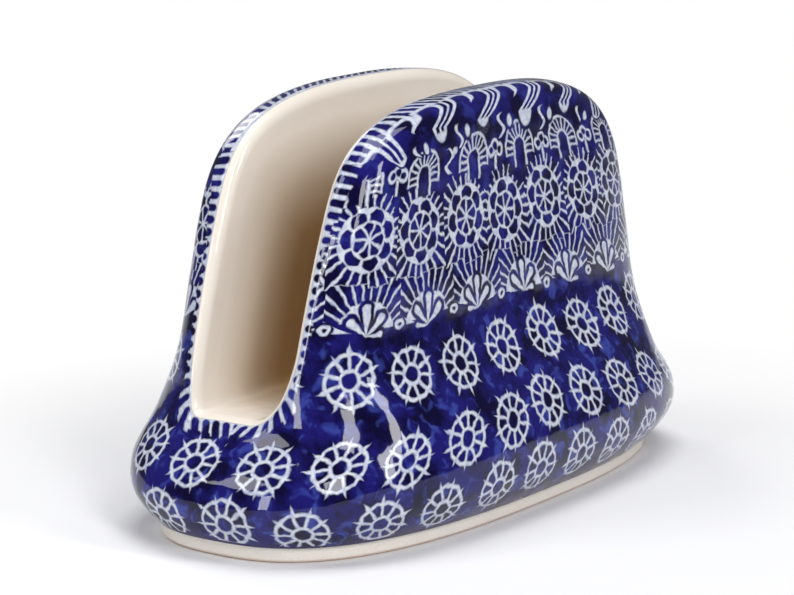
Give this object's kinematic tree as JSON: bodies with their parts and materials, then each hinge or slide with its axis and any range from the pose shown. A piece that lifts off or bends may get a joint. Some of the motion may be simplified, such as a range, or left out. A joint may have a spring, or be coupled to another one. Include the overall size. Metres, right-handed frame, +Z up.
{
  "type": "napkin holder",
  "caption": "Upright stoneware napkin holder: a slot open at the top and both ends between bell-shaped walls, on a flared base with a bare foot.",
  "frame": {"origin": "on the table, under the middle of the holder", "axes": "+X along the slot, +Y from the front wall to the rear wall, +Z up"},
  "size_m": [0.167, 0.0834, 0.095],
  "materials": {
    "cobalt_glaze": "clear gloss glaze over stamped cobalt blue and white",
    "ivory_glaze": "clear gloss glaze over cream stoneware",
    "bare_clay": "smooth unglazed stoneware",
    "underside_glaze": "thin clear glaze over cream stoneware"
  },
  "bodies": {
    "root": {"front_wall": "cobalt_glaze", "rear_wall": "cobalt_glaze", "front_slot_panel": "ivory_glaze", "rear_slot_panel": "ivory_glaze", "slot_floor": "ivory_glaze", "base_skirt": "cobalt_glaze", "foot_ring": "bare_clay", "bottom_plate": "underside_glaze"}
  },
  "joints": []
}
